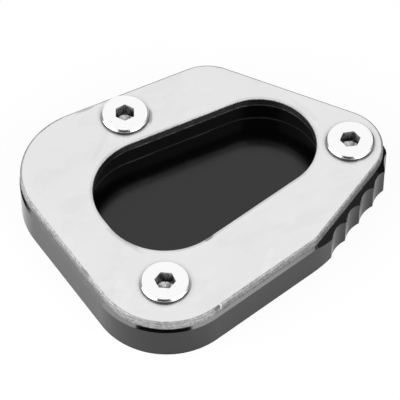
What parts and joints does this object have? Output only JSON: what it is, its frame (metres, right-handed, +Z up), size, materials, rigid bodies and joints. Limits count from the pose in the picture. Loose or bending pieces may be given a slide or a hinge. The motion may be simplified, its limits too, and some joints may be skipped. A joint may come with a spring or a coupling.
{
  "type": "kickstand foot enlarger",
  "caption": "Flat metal foot plate with a tapered pocket for a kickstand's foot, a scalloped grip edge and low-head screws that clamp its bright top plate.",
  "frame": {"origin": "middle of the base's outline, on its underside", "axes": "+X along the outline's taper from the wide heel to the narrow toe, +Z up from the ground; the scalloped grip edge faces -Y at the toe end"},
  "size_m": [0.0749, 0.0624, 0.0116],
  "materials": {
    "base": "black anodised, milled, satin gloss",
    "top_plate": "clear anodised, fine satin",
    "screws": "bright turned stainless"
  },
  "bodies": {
    "root": {"base": "base", "top_plate": "top_plate", "screw_side": "screws", "screw_toe": "screws", "screw_heel": "screws"}
  },
  "joints": []
}
